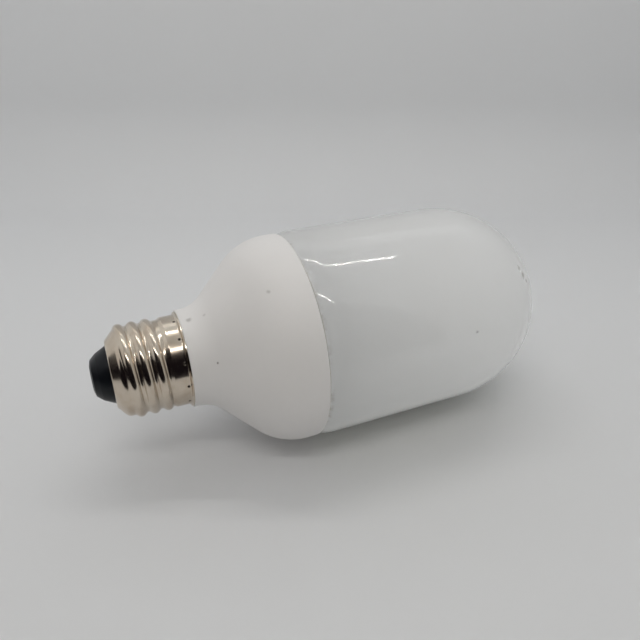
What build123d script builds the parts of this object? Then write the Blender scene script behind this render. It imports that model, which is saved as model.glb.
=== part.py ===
import os
from math import acos, atan2, cos, degrees, hypot, pi, sin, sqrt, tan
from build123d import *

# Covered compact fluorescent lamp with an E27 screw cap, lying on its side.
# Millimetres. X runs along the lamp from the cap to the dome, Z is up, and the
# lamp rests on Z = 0 along the foot of the bulb.
# Stations are lengths along the lamp's own axis, counted from the lip of the cap:
# the cap is on the minus side, the housing and the bulb on the plus side.

# Opal bulb
bulb_proud = 0.4  # how far the wall stands out beyond the housing
bulb_wall_length = 44.1  # straight wall, from the shoulder to the start of the dome
bulb_shoulder_length = 5.0  # from the rim of the housing to the straight wall
bulb_shoulder_round = 9.3
dome_depth = 32.0
bulb_neck_depth = 6.0  # the neck is glued into the housing

# Ballast housing
housing_dia = 61.0
housing_length = 32.2  # from the lip of the cap to the end of the rim
neck_dia = 27.8
neck_length = 5.2  # where the flare would start if its corner were sharp
rim_length = 10.3  # from the end of the flare, if that corner were sharp too, to the rim
neck_bend = 3.92  # how far the bend at the neck reaches from its sharp corner
shoulder_bend = 7.42  # the same at the end of the flare
rim_round = 0.5
rim_wall = 0.9
socket_gap = 0.4  # behind the end of the bulb's neck
neck_edge_round = 0.3

# Glue between the rim and the bulb
glue_gap = 1.2  # around the bulb's neck
glue_sleeve = 4.5
glue_bead = 0.3  # what shows at the seam

# Screw cap, rolled from thin sheet
sheet = 0.3
thread_crest_dia = 26.2
thread_root_dia = 24.4
thread_pitch = 3.629
thread_crest_arc = 1.35
thread_root_arc = 0.7
thread_station = -15.3  # where the first full crest crosses straight up
thread_start = -0.75  # in turns from that crossing
thread_end = 2.95
fade_in = 0.42
fade_out = 0.5
skirt_dia = 25.5
skirt_length = 4.4
skirt_ramp = 0.9  # length of the step from the thread's root up to the skirt
skirt_overlap = 0.1  # how far the end of the ramp reaches into the skirt's edge
lip_dia = 27.0
lip_flare = 0.4  # length over which the skirt opens into the lip
cap_length = 19.7  # from the lip to the flat end
cap_end_dia = 18.4  # where the flat end turns into the cone
cap_cone_length = 2.9
cap_end_round = 1.2
cap_cone_round = 2.5
cap_bend = 0.4  # radius of the small bends at the skirt and the lip
opening_dia = 16.0
cap_line_points = 60
cap_half_sections = 12

# Punch marks that stake the cap to the housing
punch_count = 12
punch_first = 3  # degrees from straight up
punch_distance = 1.2  # from the lip
punch_ball_dia = 0.9
punch_depth = 0.22

# Spigot of the housing inside the cap
spigot_clearance = 0.1
spigot_step = 4.1  # from the lip, clear of the ramp inside the cap
spigot_length = 11.0
spigot_chamfer = 0.5

# Insulator and centre contact
insulator_length = 4.9  # beyond the flat end of the cap
insulator_shoulder = 2.9
insulator_shoulder_dia = 12.9
insulator_face = 4.5
insulator_face_dia = 10.0
insulator_round = 0.9
insulator_flange = 1.6  # inside the cap
insulator_flange_dia = 17.2
contact_dia = 7.0
contact_thickness = 0.9
contact_crown = 0.25  # how far the contact's face rises to its middle

# The lamp's own axis and the lip's place on it
cap_reach = cap_length + insulator_length
shoulder_end = housing_length + bulb_shoulder_length
dome_start = shoulder_end + bulb_wall_length
overall_length = cap_reach + dome_start + dome_depth
lip_x = cap_reach - overall_length / 2
housing_radius = housing_dia / 2
bulb_radius = housing_radius + bulb_proud
axis_height = bulb_radius
lamp = Plane(origin=(lip_x, 0, axis_height), x_dir=(1, 0, 0), z_dir=(0, -1, 0))
lamp_axis = Axis(lamp.origin, (1, 0, 0))

# Radii that more than one piece uses
socket_radius = housing_radius - rim_wall
bulb_neck_radius = socket_radius - glue_gap
root_radius = thread_root_dia / 2
skirt_radius = skirt_dia / 2
punch_radius = skirt_radius + punch_ball_dia / 2 - punch_depth
opening_radius = opening_dia / 2
contact_radius = contact_dia / 2


def lamp_half(turn):
    """The half plane through the lamp's axis at a turn from straight up."""
    angle = 2 * pi * turn
    return Plane(lamp.origin, x_dir=(1, 0, 0), z_dir=(0, -cos(angle), -sin(angle)))


# Opal bulb: sealed, so it is one solid; its shoulder curves into a neck inside the housing
shoulder_centre = (shoulder_end, bulb_radius - bulb_shoulder_round)
shoulder_angle = degrees(acos((bulb_neck_radius - shoulder_centre[1]) / bulb_shoulder_round))
with BuildPart() as opal_bulb:
    with BuildSketch(lamp):
        with BuildLine():
            dome = EllipticalCenterArc((dome_start, 0), dome_depth, bulb_radius, arc_size=90)
            Line((dome_start, bulb_radius), (shoulder_end, bulb_radius))
            shoulder = CenterArc(shoulder_centre, bulb_shoulder_round, 90, shoulder_angle)
            Polyline(
                shoulder @ 1,
                (housing_length - bulb_neck_depth, bulb_neck_radius),
                (housing_length - bulb_neck_depth, 0),
                dome @ 0,
            )
        make_face()
    revolve(axis=lamp_axis)
opal_bulb.part.label = "opal_bulb"


# Glue: a sleeve around the bulb's neck that ends in a small bead at the seam
with BuildPart() as seam_adhesive:
    with BuildSketch(lamp):
        with BuildLine():
            Polyline(
                (housing_length - glue_sleeve, 0),
                (housing_length - glue_sleeve, socket_radius),
                (housing_length, socket_radius),
                (housing_length, socket_radius + glue_bead),
                (housing_length + glue_bead, socket_radius),
                (housing_length + glue_bead, 0),
                close=True,
            )
        make_face()
    revolve(axis=lamp_axis)
    add(opal_bulb.part, mode=Mode.SUBTRACT)
seam_adhesive.part.label = "seam_adhesive"


# Screw cap: the skin's line without its thread, from the opening to the skirt
cone_end = -cap_length + cap_cone_length
with BuildLine() as cap_line:
    FilletPolyline(
        (-cap_length, opening_radius),
        (-cap_length, cap_end_dia / 2),
        (cone_end, root_radius),
        (-skirt_length - skirt_ramp, root_radius),
        (-skirt_length + skirt_overlap, skirt_radius - sheet / 4),
        radius=[cap_end_round, cap_cone_round, cap_bend],
    )
skin = cap_line.wires()[0]
skin_steps = [i / cap_line_points for i in range(cap_line_points + 1)]

# Thread: crest and root arcs, joined by a straight flank
thread_depth = (thread_crest_dia - thread_root_dia) / 2
arc_sum = thread_crest_arc + thread_root_arc
arc_rise = arc_sum - thread_depth
flank = atan2(arc_rise, thread_pitch / 2) + acos(arc_sum / hypot(thread_pitch / 2, arc_rise))


def thread_height(distance):
    """Height over the root at a distance along the lamp from a crest."""
    off = abs((distance + thread_pitch / 2) % thread_pitch - thread_pitch / 2)
    crest_reach = thread_crest_arc * cos(flank)
    if off < crest_reach:
        return thread_depth - thread_crest_arc + sqrt(thread_crest_arc**2 - off**2)
    if off > thread_pitch / 2 - thread_root_arc * cos(flank):
        return thread_root_arc - sqrt(thread_root_arc**2 - (thread_pitch / 2 - off) ** 2)
    return thread_depth - thread_crest_arc * (1 - sin(flank)) - (off - crest_reach) / tan(flank)


def thread_share(station, turn):
    """How much of the thread's height is there: it fades at both ends and into the skirt."""
    crest_turn = turn + round((station - thread_station) / thread_pitch - turn)
    into = min((crest_turn - thread_start) / fade_in, (thread_end - crest_turn) / fade_out)
    into = min(1, into, (-skirt_length - station) / skirt_ramp)
    return (1 - cos(pi * max(0, into))) / 2


def skin_point(step, depth):
    """A point of the skin's line, moved square to it by a depth."""
    return skin @ step + (skin % step).rotate(Axis.Z, -90) * depth


def threaded_point(step, turn):
    """A point of the skin at a turn, raised by the thread."""
    station = (skin @ step).X
    height = thread_height(station - thread_station - thread_pitch * turn)
    return skin_point(step, -height * thread_share(station, turn))


with BuildPart() as screw_shell:
    with BuildSketch(lamp):
        with BuildLine():
            skirt = FilletPolyline(
                (-skirt_length, skirt_radius),
                (-lip_flare - sheet, skirt_radius),
                (-sheet, lip_dia / 2),
                (0, lip_dia / 2),
                radius=[cap_bend, 0],
            )
            offset(skirt, amount=sheet, side=Side.RIGHT, kind=Kind.INTERSECTION)
        make_face()
    revolve(axis=lamp_axis)
    with Locations(Plane((lip_x - punch_distance, 0, axis_height), x_dir=(0, 0, 1), z_dir=(1, 0, 0))):
        with PolarLocations(punch_radius, punch_count, start_angle=punch_first):
            Sphere(punch_ball_dia / 2, mode=Mode.SUBTRACT)
    for half in (0, 1):
        for section in range(cap_half_sections + 1):
            turn = (half + section / cap_half_sections) / 2
            with BuildSketch(lamp_half(turn)):
                with BuildLine():
                    outside = Spline([threaded_point(step, turn) for step in skin_steps])
                    inside = Spline([skin_point(step, sheet) for step in skin_steps])
                    Line(outside @ 0, inside @ 0)
                    Line(outside @ 1, inside @ 1)
                make_face()
        loft()
screw_shell.part.label = "screw_shell"


# Ballast housing: sealed, so it is one solid, with a spigot inside the cap
neck_radius = neck_dia / 2
flare_end = housing_length - rim_length
flare_tangent = tan(atan2(housing_radius - neck_radius, flare_end - neck_length) / 2)
spigot_radius = skirt_radius - sheet - spigot_clearance
spigot_tip_radius = root_radius - sheet - spigot_clearance
with BuildPart() as ballast_housing:
    with BuildSketch(lamp) as housing_half:
        with BuildLine():
            FilletPolyline(
                (0, neck_radius),
                (neck_length, neck_radius),
                (flare_end, housing_radius),
                (housing_length, housing_radius),
                radius=[neck_bend / flare_tangent, shoulder_bend / flare_tangent],
            )
            Polyline(
                (housing_length, housing_radius),
                (housing_length, socket_radius),
                (housing_length - bulb_neck_depth - socket_gap, socket_radius),
                (housing_length - bulb_neck_depth - socket_gap, 0),
                (-spigot_length, 0),
                (-spigot_length, spigot_tip_radius),
                (-spigot_step, spigot_tip_radius),
                (-spigot_step, spigot_radius),
                (0, spigot_radius),
                (0, neck_radius),
            )
        make_face()
        corners = housing_half.vertices()
        fillet(corners.sort_by_distance((housing_length, housing_radius))[0], rim_round)
        fillet(corners.sort_by_distance((0, neck_radius))[0], neck_edge_round)
        chamfer(corners.sort_by_distance((-spigot_length, spigot_tip_radius))[0], spigot_chamfer)
    revolve(axis=lamp_axis)
ballast_housing.part.label = "ballast_housing"


# Insulator: black plug that grips the edge of the cap's opening
cap_inside = -cap_length + sheet
contact_seat = -cap_reach + contact_thickness
shoulder_corner = (-cap_length - insulator_shoulder, insulator_shoulder_dia / 2)
face_corner = (-cap_length - insulator_face, insulator_face_dia / 2)
with BuildPart() as base_insulator:
    with BuildSketch(lamp) as insulator_half:
        with BuildLine():
            Polyline(
                (cap_inside + insulator_flange, 0),
                (cap_inside + insulator_flange, insulator_flange_dia / 2),
                (cap_inside, insulator_flange_dia / 2),
                (cap_inside, opening_radius),
                (-cap_length, opening_radius),
                shoulder_corner,
                face_corner,
                (-cap_reach, contact_radius),
                (contact_seat, contact_radius),
                (contact_seat, 0),
                close=True,
            )
        make_face()
        fillet(insulator_half.vertices().sort_by_distance(shoulder_corner)[0], insulator_round)
        fillet(insulator_half.vertices().sort_by_distance(face_corner)[0], insulator_round)
    revolve(axis=lamp_axis)
base_insulator.part.label = "base_insulator"


# Centre contact: a disc with a slightly domed face, flush in the insulator's end
with BuildPart() as centre_contact:
    with BuildSketch(lamp):
        with BuildLine():
            edge = (-cap_reach + contact_crown, contact_radius)
            Polyline((-cap_reach, 0), (contact_seat, 0), (contact_seat, contact_radius), edge)
            TangentArc((-cap_reach, 0), edge, tangent=(0, 1))
        make_face()
    revolve(axis=lamp_axis)
centre_contact.part.label = "centre_contact"

os.makedirs("parts", exist_ok=True)
for piece in (opal_bulb, seam_adhesive, ballast_housing, screw_shell, base_insulator, centre_contact):
    export_step(piece.part, f"parts/{piece.part.label}.step")
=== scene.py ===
import math
import bpy
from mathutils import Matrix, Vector


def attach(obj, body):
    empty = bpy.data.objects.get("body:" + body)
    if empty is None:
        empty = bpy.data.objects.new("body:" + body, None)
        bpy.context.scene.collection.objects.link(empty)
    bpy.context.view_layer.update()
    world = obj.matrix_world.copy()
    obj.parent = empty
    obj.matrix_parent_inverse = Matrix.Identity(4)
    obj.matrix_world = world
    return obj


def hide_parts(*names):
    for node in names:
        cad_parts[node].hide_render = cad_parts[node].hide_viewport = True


# Covered compact fluorescent lamp, lying on its side in a small white light tent.
# Scene units are metres. Sizes in the dictionaries of the lamp's pieces are millimetres on the lamp itself:
# station = length along the lamp's axis from the lip of the screw cap, + towards the dome
# turn = angle round the axis from straight up towards the front, in degrees

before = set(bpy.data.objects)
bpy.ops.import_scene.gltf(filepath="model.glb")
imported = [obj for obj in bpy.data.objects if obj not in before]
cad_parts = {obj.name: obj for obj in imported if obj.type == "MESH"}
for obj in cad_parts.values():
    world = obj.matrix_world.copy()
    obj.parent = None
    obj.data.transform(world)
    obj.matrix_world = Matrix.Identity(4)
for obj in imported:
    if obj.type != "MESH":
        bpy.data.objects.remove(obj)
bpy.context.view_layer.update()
print("frame loaded")

scene = bpy.context.scene

lampFrame = {
    "lipX": -44.35,  # row frame X of the cap's lip
    "axisZ": 30.9,
    "segments": 256,  # round the axis
    "sharpAngle": 35,  # an edge bent by more than this many degrees stays crisp
}


# Nodes and materials

def srgb(hexColor):
    channels = [int(hexColor[i:i + 2], 16) / 255 for i in (1, 3, 5)]
    linear = [c / 12.92 if c <= 0.04045 else ((c + 0.055) / 1.055) ** 2.4 for c in channels]
    return (*linear, 1.0)


def addNode(tree, kind, inputs, output=None, **settings):
    node = tree.nodes.new("ShaderNode" + kind)
    for key, value in settings.items():
        setattr(node, key, value)
    for key, value in inputs.items():
        if isinstance(value, bpy.types.NodeSocket):
            tree.links.new(value, node.inputs[key])
        else:
            node.inputs[key].default_value = value
    return node if output is None else node.outputs[output]


def newMaterial(name, **inputs):
    material = bpy.data.materials.new(name)
    material.use_nodes = True
    shader = material.node_tree.nodes["Principled BSDF"]
    for key, value in inputs.items():
        shader.inputs[key.replace("_", " ")].default_value = value
    return material, material.node_tree, shader


def cloudy(tree, sizeMm, detail=3.0, roughness=0.5):
    place = addNode(tree, "TexCoord", {}, "Object")
    return addNode(tree, "TexNoise", {
        "Vector": place, "Scale": 1000 / sizeMm, "Detail": detail, "Roughness": roughness,
    }, "Fac")


def patches(tree, sizeMm, low, high, detail=3.0, roughness=0.5, values=(0.0, 1.0)):
    cloud = cloudy(tree, sizeMm, detail, roughness)
    return addNode(tree, "MapRange", {
        "Value": cloud, "From Min": low, "From Max": high, "To Min": values[0], "To Max": values[1],
    }, "Result", interpolation_type="SMOOTHSTEP")


def marked(tree, color, marks, hexColor):
    softShare, raggedShare, raggedSize = 0.8, 0.25, 0.6  # of a mark's size
    for station, radius, turn, size, dark in marks:
        place = addNode(tree, "TexCoord", {}, "Object")
        centre = lampPoint(station, radius, turn)
        away = addNode(tree, "VectorMath", {0: place, 1: centre}, "Value", operation="DISTANCE")
        shift = addNode(tree, "MapRange", {
            "Value": cloudy(tree, size * raggedSize),
            "To Min": -raggedShare * size / 1000, "To Max": raggedShare * size / 1000,
        }, "Result")
        ragged = addNode(tree, "Math", {0: away, 1: shift}, 0, operation="ADD")
        mark = addNode(tree, "MapRange", {
            "Value": ragged, "From Min": size * (1 - softShare) / 2000, "From Max": size / 2000,
            "To Min": dark, "To Max": 0.0,
        }, "Result", interpolation_type="SMOOTHSTEP")
        color = addNode(tree, "Mix", {0: mark, 6: color, 7: srgb(hexColor)}, 2, data_type="RGBA")
    return color


# Shapes round the lamp's axis

def lampPoint(station, radius, turn):
    angle = math.radians(turn)
    return Vector((
        (lampFrame["lipX"] + station) / 1000,
        -radius * math.sin(angle) / 1000,
        (lampFrame["axisZ"] + radius * math.cos(angle)) / 1000,
    ))


def roundedLine(points, radii, stepMm=0.6, stepAngle=math.radians(5)):
    line = [points[0]]
    for i in range(1, len(points) - 1):
        corner, radius = Vector(points[i]), radii[i - 1]
        if radius == 0:
            line.append(tuple(corner))
            continue
        before = (Vector(points[i - 1]) - corner).normalized()
        after = (Vector(points[i + 1]) - corner).normalized()
        half = before.angle(after) / 2
        centre = corner + (before + after).normalized() * radius / math.sin(half)
        start = corner + before * radius / math.tan(half) - centre
        sweep = math.pi - 2 * half
        side = 1 if before.x * after.y - before.y * after.x < 0 else -1
        steps = max(3, math.ceil(sweep / stepAngle), math.ceil(sweep * radius / stepMm))
        for k in range(steps + 1):
            a = side * sweep * k / steps
            line.append((
                centre.x + start.x * math.cos(a) - start.y * math.sin(a),
                centre.y + start.x * math.sin(a) + start.y * math.cos(a),
            ))
    line.append(points[-1])
    return line


def spaced(line, stepMm):
    finer = [line[0]]
    for a, b in zip(line, line[1:]):
        steps = max(1, math.ceil(math.dist(a, b) / stepMm))
        for k in range(1, steps + 1):
            finer.append((a[0] + (b[0] - a[0]) * k / steps, a[1] + (b[1] - a[1]) * k / steps))
    return finer


def ringMesh(name, outlineAt, segments, closed):
    rows = [outlineAt(360 * k / segments) for k in range(segments)]  # a row's outside runs towards the dome
    count = len(rows[0])
    verts, faces, index = [], [], {}
    for k, row in enumerate(rows):
        for i, (station, radius) in enumerate(row):
            if radius < 1e-6 and k > 0:  # all rows share the point on the axis
                index[k, i] = index[0, i]
                continue
            index[k, i] = len(verts)
            verts.append(lampPoint(station, radius, 360 * k / segments))
    for k in range(segments):
        for i in range(count if closed else count - 1):
            j, m = (i + 1) % count, (k + 1) % segments
            corners = list(dict.fromkeys([index[k, i], index[m, i], index[m, j], index[k, j]]))
            if len(corners) > 2:
                faces.append(corners)
    mesh = bpy.data.meshes.new(name)
    mesh.from_pydata(verts, [], faces)
    mesh.update()
    mesh.shade_smooth()
    mesh.set_sharp_from_angle(angle=math.radians(lampFrame["sharpAngle"]))
    piece = bpy.data.objects.new(name, mesh)
    scene.collection.objects.link(piece)
    return piece


def standFor(piece, node, material):
    piece.data.materials.append(material)
    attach(piece, "root")
    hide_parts(node)


# Opal bulb

bulb = {
    "radius": 30.9,
    "neckRadius": 28.4,
    "neckEnd": 26.2,
    "shoulderEnd": 37.2,
    "shoulderRound": 9.3,
    "domeStart": 81.3,
    "domeDepth": 32.0,
    "wallStep": 4.0,  # between the mesh's rings
    "shoulderSteps": 20,
    "domeSteps": 72,
    "tint": "#EAEBE4",
    "gloss": 0.06,
    "glow": 0.7,  # metres that light may travel inside
    "waves": [(22.0, 0.06), (5.0, 0.006)],  # size, strength
    "waveDepth": 1.0,
    "seam": 32.2,
    "stain": "#A08E6C",
    "stainReach": (0.2, 1.6),  # from the seam
    "stainSize": 5.0,
    "stainCover": (0.45, 0.7),  # clean below, stained above, of the cloud's 0 to 1
    "stainStrength": 0.6,
    "speck": "#5A554F",
    # station, radius, turn, size, darkness
    "marks": [
        (77.0, 30.8, 76.4, 1.3, 0.6),
        (99.3, 25.6, 51.0, 3.3, 0.95),
        (98.2, 26.3, 46.0, 2.6, 0.8),
        (100.6, 24.7, 55.0, 2.0, 0.7),
    ],
}


def bulbOutline(turn):
    radius, dome, depth = bulb["radius"], bulb["domeStart"], bulb["domeDepth"]
    bend, steps = bulb["shoulderRound"], bulb["shoulderSteps"]
    lean = math.acos(1 - (radius - bulb["neckRadius"]) / bend)
    shoulder = [
        (bulb["shoulderEnd"] - bend * math.sin(a), radius - bend * (1 - math.cos(a)))
        for a in (lean * (1 - k / steps) for k in range(steps + 1))
    ]
    quarter = [math.pi / 2 * k / bulb["domeSteps"] for k in range(bulb["domeSteps"])]
    arc = [(dome + depth * math.sin(a), radius * math.cos(a)) for a in quarter]
    wall = spaced([shoulder[-1], arc[0]], bulb["wallStep"])
    neck = [(bulb["neckEnd"], 0), (bulb["neckEnd"], bulb["neckRadius"])]
    return neck + shoulder + wall[1:] + arc[1:] + [(dome + depth, 0)]


# Opal glass, blown: glossy and faintly wavy outside; light spreads inside it, so its shades are gentle
opalGlass, tree, shader = newMaterial(
    "opalGlass", Roughness=bulb["gloss"], IOR=1.5,
    Subsurface_Weight=1.0, Subsurface_Radius=(1, 1, 1), Subsurface_Scale=bulb["glow"],
)
seamX = (lampFrame["lipX"] + bulb["seam"]) / 1000
place = addNode(tree, "TexCoord", {}, "Object")
alongAxis = addNode(tree, "SeparateXYZ", {0: place}, "X")
nearSeam = addNode(tree, "MapRange", {
    "Value": alongAxis,
    "From Min": seamX + bulb["stainReach"][0] / 1000, "From Max": seamX + bulb["stainReach"][1] / 1000,
    "To Min": bulb["stainStrength"], "To Max": 0.0,
}, "Result", interpolation_type="SMOOTHSTEP")
patchy = patches(tree, bulb["stainSize"], *bulb["stainCover"], detail=4.0, roughness=0.6)
stain = addNode(tree, "Math", {0: nearSeam, 1: patchy}, 0, operation="MULTIPLY")
color = addNode(tree, "Mix", {0: stain, 6: srgb(bulb["tint"]), 7: srgb(bulb["stain"])}, 2, data_type="RGBA")
tree.links.new(marked(tree, color, bulb["marks"], bulb["speck"]), shader.inputs["Base Color"])
normal = None
for size, strength in bulb["waves"]:
    wave = addNode(tree, "Bump", {
        "Height": cloudy(tree, size, 1.0), "Strength": strength, "Distance": bulb["waveDepth"] / 1000,
    })
    if normal:
        tree.links.new(normal, wave.inputs["Normal"])
    normal = wave.outputs["Normal"]
tree.links.new(normal, shader.inputs["Normal"])
opalBulb = ringMesh("opalBulb", bulbOutline, lampFrame["segments"], closed=False)
standFor(opalBulb, "opal_bulb", opalGlass)
print("opal bulb made")


# Ballast housing

housing = {
    "neckRadius": 13.9,
    "neckLength": 5.2,
    "flareEnd": 21.9,
    "radius": 30.5,
    "length": 32.2,
    "neckRound": 9.5,
    "shoulderRound": 18.0,
    "rimRound": 0.5,
    "neckEdgeRound": 0.3,
    "socketRadius": 29.6,
    "socketEnd": 25.8,
    "spigotRadius": 12.35,
    "spigotTipRadius": 11.8,
    "spigotStep": -4.1,
    "spigotEnd": -11.0,
    "spigotChamfer": 0.5,
    "ringStep": 1.5,  # between the mesh's rings
    "shades": ("#E4E2E1", "#DFDDDC"),
    "shadeSize": 40.0,
    "shadeCover": (0.3, 0.7),
    "gloss": 0.5,
    "grainSize": 0.5,  # the real grain is nearer 0.1 and would not show
    "grainDepth": 0.05,
    "grainStrength": 0.15,
    "speck": "#5B5249",
    # station, radius, turn, size, darkness
    "marks": [
        (2.45, 14.0, 12.2, 2.2, 0.4),
        (6.49, 15.6, 15.5, 1.4, 0.25),
        (6.64, 15.7, 67.9, 0.9, 0.75),
        (21.3, 28.6, 32.1, 1.6, 0.3),
    ],
}


def housingOutline(turn):
    h = housing
    skin = roundedLine(
        [
            (0, h["spigotRadius"]), (0, h["neckRadius"]), (h["neckLength"], h["neckRadius"]),
            (h["flareEnd"], h["radius"]), (h["length"], h["radius"]), (h["length"], h["socketRadius"]),
        ],
        [h["neckEdgeRound"], h["neckRound"], h["shoulderRound"], h["rimRound"]],
    )
    socket = [(h["socketEnd"], h["socketRadius"]), (h["socketEnd"], 0)]
    spigot = [
        (h["spigotEnd"], 0), (h["spigotEnd"], h["spigotTipRadius"] - h["spigotChamfer"]),
        (h["spigotEnd"] + h["spigotChamfer"], h["spigotTipRadius"]),
        (h["spigotStep"], h["spigotTipRadius"]), (h["spigotStep"], h["spigotRadius"]),
    ]
    return spigot + spaced(skin, h["ringStep"]) + socket


# White PBT, moulded: a satin skin with a fine grain and hardly any change of shade
mouldedPbt, tree, shader = newMaterial("mouldedPbt", Roughness=housing["gloss"], IOR=1.49)
cloud = patches(tree, housing["shadeSize"], *housing["shadeCover"])
lighter, darker = (srgb(shade) for shade in housing["shades"])
color = addNode(tree, "Mix", {0: cloud, 6: lighter, 7: darker}, 2, data_type="RGBA")
tree.links.new(marked(tree, color, housing["marks"], housing["speck"]), shader.inputs["Base Color"])
grain = addNode(tree, "Bump", {
    "Height": cloudy(tree, housing["grainSize"], 2.0),
    "Strength": housing["grainStrength"], "Distance": housing["grainDepth"] / 1000,
}, "Normal")
tree.links.new(grain, shader.inputs["Normal"])
ballastHousing = ringMesh("ballastHousing", housingOutline, lampFrame["segments"], closed=False)
standFor(ballastHousing, "ballast_housing", mouldedPbt)
print("ballast housing made")


# Screw cap

cap = {
    "sheet": 0.3,
    "crestRadius": 13.1,
    "rootRadius": 12.2,
    "pitch": 3.629,
    "crestArc": 1.35,
    "rootArc": 0.7,
    "threadStation": -15.3,
    "threadStart": -0.75,  # turns from the first crest crossing straight up
    "threadEnd": 2.95,
    "fadeIn": 0.42,
    "fadeOut": 0.5,
    "skirtRadius": 12.75,
    "skirtEnd": -4.4,
    "skirtRamp": 0.9,
    "skirtLead": 0.1,
    "lipRadius": 13.5,
    "lipFlare": 0.4,
    "length": 19.7,
    "endRadius": 9.2,
    "coneLength": 2.9,
    "openingRadius": 8.0,
    "endRound": 1.2,
    "coneRound": 2.5,
    "rampRounds": (0.4, 0.5),
    "lipRound": 0.4,
    "segments": 360,
    "ringStep": 0.13,  # between the mesh's rings
    "insideEvery": 3,  # the smooth inside needs only every third of them
    "punchCount": 12,
    "punchFirst": 3.0,  # degrees
    "punchStation": -1.2,
    "punchBall": 0.45,
    "punchDepth": 0.22,
    "shades": ("#D6CBBC", "#C9B9A7"),
    "gloss": (0.15, 0.22),
    "wearSize": 6.0,
    "wearCover": (0.35, 0.75),
    # painted shade: the near-black that fills each punch mark
    "punchShade": "#120F0D",
    "punchShadeReach": (0.225, 0.54),  # full, none
    "punchShadeStrength": 0.95,
}


def threadHeight(distance):
    depth = cap["crestRadius"] - cap["rootRadius"]
    pitch, crest, root = cap["pitch"], cap["crestArc"], cap["rootArc"]
    rise = crest + root - depth
    flank = math.atan2(rise, pitch / 2) + math.acos((crest + root) / math.hypot(pitch / 2, rise))
    off = abs((distance + pitch / 2) % pitch - pitch / 2)
    if off < crest * math.cos(flank):
        return depth - crest + math.sqrt(crest ** 2 - off ** 2)
    if off > pitch / 2 - root * math.cos(flank):
        return root - math.sqrt(root ** 2 - (pitch / 2 - off) ** 2)
    return depth - crest * (1 - math.sin(flank)) - (off - crest * math.cos(flank)) / math.tan(flank)


def threadShare(station, turns):  # the thread rises and dies away over part of a turn, and ends at the skirt
    crest = turns + round((station - cap["threadStation"]) / cap["pitch"] - turns)
    into = min((crest - cap["threadStart"]) / cap["fadeIn"], (cap["threadEnd"] - crest) / cap["fadeOut"])
    into = min(1, into, (cap["skirtEnd"] - station) / cap["skirtRamp"])
    return (1 - math.cos(math.pi * max(0, into))) / 2


capSkin = spaced(roundedLine(
    [
        (-cap["length"], cap["openingRadius"]), (-cap["length"], cap["endRadius"]),
        (cap["coneLength"] - cap["length"], cap["rootRadius"]),
        (cap["skirtEnd"] - cap["skirtRamp"], cap["rootRadius"]),
        (cap["skirtEnd"] + cap["skirtLead"], cap["skirtRadius"]),
        (-cap["lipFlare"] - cap["sheet"], cap["skirtRadius"]),
        (-cap["sheet"], cap["lipRadius"]), (0, cap["lipRadius"]),
    ],
    [cap["endRound"], cap["coneRound"], *cap["rampRounds"], cap["lipRound"], 0],
), cap["ringStep"])
capNormals = []
for before, after in zip([capSkin[0]] + capSkin[:-1], capSkin[1:] + [capSkin[-1]]):
    alongSkin = Vector((after[0] - before[0], after[1] - before[1])).normalized()
    capNormals.append(Vector((-alongSkin.y, alongSkin.x)))


def punched(station, radius, turn):
    step = 360 / cap["punchCount"]
    off = (turn - cap["punchFirst"] + step / 2) % step - step / 2
    centre = cap["skirtRadius"] + cap["punchBall"] - cap["punchDepth"]
    across = math.radians(off) * cap["skirtRadius"]
    reach = cap["punchBall"] ** 2 - (station - cap["punchStation"]) ** 2 - across ** 2
    return min(radius, centre - math.sqrt(reach)) if reach > 0 else radius


def capOutline(turn):
    outside = []
    turns = turn / 360
    for (station, radius), normal in zip(capSkin, capNormals):
        height = 0.0
        if station < cap["skirtEnd"]:
            distance = station - cap["threadStation"] - cap["pitch"] * turns
            height = threadHeight(distance) * threadShare(station, turns)
        moved = (station + normal.x * height, radius + normal.y * height)
        outside.append((moved[0], punched(moved[0], moved[1], turn)))
    inside = [(s - n.x * cap["sheet"], r - n.y * cap["sheet"]) for (s, r), n in zip(capSkin, capNormals)]
    inside[-1] = (0, cap["lipRadius"] - cap["sheet"])
    inside[0] = (cap["sheet"] - cap["length"], cap["openingRadius"])
    return outside + inside[::-cap["insideEvery"]]


# Nickel-plated sheet, rolled: bright bands and dark ones, warmer and duller where fingers wore it
nickelPlate, tree, shader = newMaterial("nickelPlate", Metallic=1.0)
wear = patches(tree, cap["wearSize"], *cap["wearCover"], detail=5.0, roughness=0.6)
bright, worn = (srgb(shade) for shade in cap["shades"])
plating = addNode(tree, "Mix", {0: wear, 6: bright, 7: worn}, 2, data_type="RGBA")
gloss = addNode(tree, "MapRange", {
    "Value": wear, "To Min": cap["gloss"][0], "To Max": cap["gloss"][1],
}, "Result")
tree.links.new(gloss, shader.inputs["Roughness"])

# Painted shade in each punch mark, near-black like the inside of a deeper hole: how far a point is from the
# nearest one, round the skirt and along it
place = addNode(tree, "TexCoord", {}, "Object")
xyz = addNode(tree, "SeparateXYZ", {0: place}).outputs
front = addNode(tree, "Math", {0: xyz["Y"], 1: -1.0}, 0, operation="MULTIPLY")
up = addNode(tree, "Math", {0: xyz["Z"], 1: lampFrame["axisZ"] / 1000}, 0, operation="SUBTRACT")
angle = addNode(tree, "Math", {0: front, 1: up}, 0, operation="ARCTAN2")
fromFirst = addNode(tree, "Math", {0: angle, 1: math.radians(cap["punchFirst"])}, 0, operation="SUBTRACT")
toNearest = addNode(tree, "Math", {0: fromFirst, 1: math.pi / cap["punchCount"]}, 0, operation="PINGPONG")
across = addNode(tree, "Math", {0: toNearest, 1: cap["skirtRadius"] / 1000}, 0, operation="MULTIPLY")
punchX = (lampFrame["lipX"] + cap["punchStation"]) / 1000
along = addNode(tree, "Math", {0: xyz["X"], 1: punchX}, 0, operation="SUBTRACT")
offset = addNode(tree, "CombineXYZ", {"X": across, "Y": along}, 0)
away = addNode(tree, "VectorMath", {0: offset}, "Value", operation="LENGTH")
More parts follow.
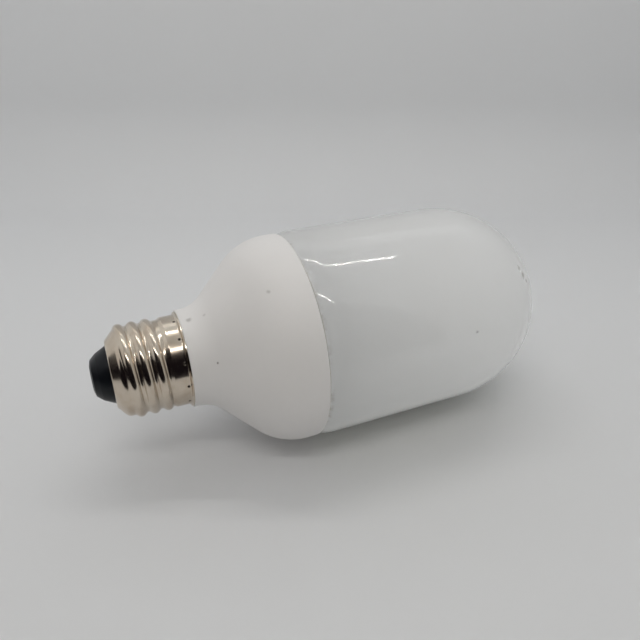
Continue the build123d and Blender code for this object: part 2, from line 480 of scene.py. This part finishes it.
punchShade = addNode(tree, "MapRange", {
    "Value": away, "From Min": cap["punchShadeReach"][0] / 1000, "From Max": cap["punchShadeReach"][1] / 1000,
    "To Min": cap["punchShadeStrength"], "To Max": 0.0,
}, "Result", interpolation_type="SMOOTHSTEP")
# the painted shade of the punch marks is mixed into the plating here
color = addNode(tree, "Mix", {0: punchShade, 6: plating, 7: srgb(cap["punchShade"])}, 2, data_type="RGBA")
tree.links.new(color, shader.inputs["Base Color"])
screwCap = ringMesh("screwCap", capOutline, cap["segments"], closed=True)
standFor(screwCap, "screw_shell", nickelPlate)
print("screw cap made")


# Insulator, contact and glue

insulator = {
    "flangeStation": -17.8,
    "flangeRadius": 8.6,
    "capInside": -19.4,
    "openingRadius": 8.0,
    "capEnd": -19.7,
    "shoulder": (-22.6, 6.45),
    "face": (-24.2, 5.0),
    "round": 0.9,
    "end": -24.6,
    "contactRadius": 3.5,
    "contactDepth": 0.9,
    "segments": 128,
    "color": "#0F1218",
    "gloss": (0.3, 0.4),
    "glossSize": 3.0,
    "glossCover": (0.3, 0.7),
}


def insulatorOutline(turn):
    i = insulator
    skin = roundedLine(
        [(i["capEnd"], i["openingRadius"]), i["shoulder"], i["face"], (i["end"], i["contactRadius"])],
        [i["round"], i["round"]],
    )
    inside = [
        (i["capInside"], i["openingRadius"]), (i["capInside"], i["flangeRadius"]),
        (i["flangeStation"], i["flangeRadius"]), (i["flangeStation"], 0),
    ]
    seat = i["end"] + i["contactDepth"]
    return [(seat, 0), (seat, i["contactRadius"]), *skin[::-1], *inside]


# Black glass, pressed and fire-polished: nearly black, with soft broad lights
blackGlass, tree, shader = newMaterial(
    "blackGlass", Base_Color=srgb(insulator["color"]), IOR=1.45, Specular_IOR_Level=0.3,
)
gloss = patches(tree, insulator["glossSize"], *insulator["glossCover"], values=insulator["gloss"])
tree.links.new(gloss, shader.inputs["Roughness"])
baseInsulator = ringMesh("baseInsulator", insulatorOutline, insulator["segments"], closed=False)
standFor(baseInsulator, "base_insulator", blackGlass)

contact = {
    "shades": ("#B8B2A8", "#A89A7C"),  # tin, brass
    "gloss": (0.45, 0.3),
    "wearSize": 1.2,
    "wearCover": (0.45, 0.7),
}

# Tinned brass, pressed: dull, with the brass showing where a socket's spring has rubbed it
tinnedBrass, tree, shader = newMaterial("tinnedBrass", Metallic=1.0)
rubbed = patches(tree, contact["wearSize"], *contact["wearCover"], detail=4.0, roughness=0.6)
tin, brass = (srgb(shade) for shade in contact["shades"])
color = addNode(tree, "Mix", {0: rubbed, 6: tin, 7: brass}, 2, data_type="RGBA")
tree.links.new(color, shader.inputs["Base Color"])
gloss = addNode(tree, "MapRange", {
    "Value": rubbed, "To Min": contact["gloss"][0], "To Max": contact["gloss"][1],
}, "Result")
tree.links.new(gloss, shader.inputs["Roughness"])

glue = {
    "shades": ("#8C8780", "#9A8560"),
    "shadeSize": 7.0,
    "shadeCover": (0.4, 0.65),
    "gloss": 0.45,
}

# Heat-cured glue, squeezed out at the rim: satin grey, yellowed in places
agedGlue, tree, shader = newMaterial("agedGlue", Roughness=glue["gloss"], IOR=1.5)
yellowed = patches(tree, glue["shadeSize"], *glue["shadeCover"], detail=4.0)
grey, yellow = (srgb(shade) for shade in glue["shades"])
color = addNode(tree, "Mix", {0: yellowed, 6: grey, 7: yellow}, 2, data_type="RGBA")
tree.links.new(color, shader.inputs["Base Color"])

for node, material in (("centre_contact", tinnedBrass), ("seam_adhesive", agedGlue)):
    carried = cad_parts[node]
    carried.data.materials.clear()
    carried.data.materials.append(material)
print("small pieces made")


# Light tent: it stands square to the camera, not to the lamp. Its sizes are metres

tent = {
    "heading": (0.39186, 0.92002),  # from the camera towards the back wall
    "back": 0.236,
    "side": 0.24,
    "height": 0.40,
    "topFront": -0.235,
    "sideFront": -0.17,
    "floorFront": -0.15,
    "leftFootFront": -0.015,  # the foot of the left side starts further back
    "leftFootHeight": 0.09,
    "bend": 0.055,
    "bendSteps": 24,
    "paper": "#DBDCDE",
    "cloth": "#DFE1E3",
    # painted shade: the right side is a darker copy of the cloth
    "rightCloth": "#D4D6D8",
    # painted light: the upper part of the back paper glows, standing in for the bright patch the rear row of
    # lights makes there
    "upperPaper": "#DADCDE",
    "upperFoot": 0.26,
    "upperFront": 0.001,  # in front of the back wall
    "paperRoughness": 0.85,
    "clothRoughness": 0.9,
    "clothLight": "#FFFCF7",
    "upperLight": "#FFFFFF",
    "sideGlow": 0.17,
    "rightGlow": 0.11,
    "topGlow": 0.09,
    "upperGlow": 0.47,
}
lights = {
    "strips": [(0.092, 155.0), (-0.205, 190.0)],  # place, strength
    "halfLength": 0.172,
    "pitch": 0.0115,
    "size": 0.004,
    "drop": 0.004,  # under the top
    "boardDrop": 0.003,
    "boardWidth": 0.01,
    "boardPast": 0.005,
    "color": "#FFFCF7",
    "board": "#8A8C8E",
    "boardRoughness": 0.6,
}


def tentPoint(u, w, z):  # u to the right, w towards the back wall
    x, y = tent["heading"]
    return Vector((y * u + x * w, -x * u + y * w, z))


def stageMesh(name, verts, faces, material):
    mesh = bpy.data.meshes.new(name)
    mesh.from_pydata(verts, [], faces)
    mesh.shade_smooth()
    mesh.materials.append(material)
    obj = bpy.data.objects.new(name, mesh)
    scene.collection.objects.link(obj)


def glowing(name, hexColor, glow):
    return newMaterial(
        name, Base_Color=srgb(hexColor), Roughness=tent["clothRoughness"],
        Emission_Color=srgb(tent["clothLight"]), Emission_Strength=glow,
    )[0]


# Matt white paper on the floor and up the back
paper = newMaterial("paper", Base_Color=srgb(tent["paper"]), Roughness=tent["paperRoughness"])[0]
side, back, height, bend = tent["side"], tent["back"], tent["height"], tent["bend"]
turns = [math.pi / 2 * k / tent["bendSteps"] for k in range(tent["bendSteps"] + 1)]
sweepLine = [(tent["floorFront"], 0)]
sweepLine += [(back - bend * (1 - math.sin(a)), bend * (1 - math.cos(a))) for a in turns]
sweepLine.append((back, height))
verts = [tentPoint(u, w, z) for w, z in sweepLine for u in (-side, side)]
faces = [(2 * k, 2 * k + 1, 2 * k + 3, 2 * k + 2) for k in range(len(sweepLine) - 1)]
stageMesh("paperSweep", verts, faces, paper)

# Thin cloth, lit from outside, on the sides and the top; the front is open to a dim room
cloth = glowing("cloth", tent["cloth"], tent["sideGlow"])
# Painted shade on the right side: a darker copy of the cloth that also glows less, so that less light comes
# from the right
rightCloth = glowing("rightCloth", tent["rightCloth"], tent["rightGlow"])
topCloth = glowing("topCloth", tent["cloth"], tent["topGlow"])
# Painted light: a glowing copy of the paper on the upper back wall, for the bright patch the rear row of
# lights makes there
upperPaper = newMaterial(  # the rear lights are near it
    "upperPaper", Base_Color=srgb(tent["upperPaper"]), Roughness=tent["paperRoughness"],
    Emission_Color=srgb(tent["upperLight"]), Emission_Strength=tent["upperGlow"],
)[0]
front, topFront = tent["sideFront"], tent["topFront"]
footFront, footTop = tent["leftFootFront"], tent["leftFootHeight"]
upperFoot, upperBack = tent["upperFoot"], back - tent["upperFront"]
for name, material, corners in (
    ("clothLeft", cloth, [
        (-side, front, footTop), (-side, back, footTop), (-side, back, height), (-side, front, height),
    ]),
    ("clothLeftFoot", cloth, [
        (-side, footFront, 0), (-side, back, 0), (-side, back, footTop), (-side, footFront, footTop),
    ]),
    ("clothRight", rightCloth, [
        (side, front, 0), (side, back, 0), (side, back, height), (side, front, height),
    ]),
    ("clothTop", topCloth, [
        (-side, topFront, height), (side, topFront, height), (side, back, height), (-side, back, height),
    ]),
    ("upperWall", upperPaper, [
        (-side, upperBack, upperFoot), (side, upperBack, upperFoot),
        (side, upperBack, height), (-side, upperBack, height),
    ]),
):
    stageMesh(name, [tentPoint(*corner) for corner in corners], [(0, 1, 2, 3)], material)

# Two rows of small lights under the top
board = newMaterial("board", Base_Color=srgb(lights["board"]), Roughness=lights["boardRoughness"])[0]
half = lights["size"] / 2
gaps = int(2 * lights["halfLength"] / lights["pitch"])
for w, strength in lights["strips"]:
    ledLight = bpy.data.materials.new("ledLight")
    ledLight.use_nodes = True
    tree = ledLight.node_tree
    tree.nodes.clear()
    glow = addNode(tree, "Emission", {"Color": srgb(lights["color"]), "Strength": strength}, 0)
    addNode(tree, "OutputMaterial", {"Surface": glow})
    x, y = lights["halfLength"] + lights["boardPast"], lights["boardWidth"] / 2
    z = height - lights["boardDrop"]
    boardCorners = [tentPoint(a, w + c, z) for a, c in ((-x, -y), (-x, y), (x, y), (x, -y))]
    stageMesh("ledBoard", boardCorners, [(0, 1, 2, 3)], board)
    verts, faces = [], []
    z = height - lights["drop"]
    for k in range(gaps + 1):
        u = lights["pitch"] * (k - gaps / 2)
        faces.append(tuple(range(len(verts), len(verts) + 4)))
        for x, y in ((-half, -half), (-half, half), (half, half), (half, -half)):
            verts.append(tentPoint(u + x, w + y, z))
    stageMesh("ledRow", verts, faces, ledLight)

# Room behind the open front: dark to reflections, a soft fill for matt surfaces, pale to the camera
room = {
    "reflected": "#130F13",
    "fill": "#A3A19D",
    "seen": "#CCCDCE",
}
world = bpy.data.worlds.new("room")
scene.world = world
world.use_nodes = True
tree = world.node_tree
path = addNode(tree, "LightPath", {}).outputs
color = addNode(tree, "Mix", {
    0: path["Is Glossy Ray"], 6: srgb(room["fill"]), 7: srgb(room["reflected"]),
}, 2, data_type="RGBA")
color = addNode(tree, "Mix", {0: path["Is Camera Ray"], 6: color, 7: srgb(room["seen"])}, 2, data_type="RGBA")
tree.links.new(color, tree.nodes["Background"].inputs["Color"])
print("tent made")


# Camera, fitted to the photo's outlines

view = {
    "place": (-0.062922, -0.142031, 0.124602),
    "forward": (0.33782, 0.79313, -0.50678),
    "focal": 590.0,  # pixels, for a picture 640 wide
    "width": 640,
    "sensor": 36.0,
    "nearest": 0.005,
}
camData = bpy.data.cameras.new("photoCamera")
camData.sensor_width = view["sensor"]
camData.lens = view["sensor"] * view["focal"] / view["width"]
camData.clip_start = view["nearest"]
camera = bpy.data.objects.new("photoCamera", camData)
camera.location = view["place"]
camera.rotation_euler = Vector(view["forward"]).to_track_quat("-Z", "Y").to_euler()
scene.collection.objects.link(camera)
scene.camera = camera

scene.view_settings.view_transform = "Standard"
scene.cycles.diffuse_bounces = 8  # light passes many times between the white sides
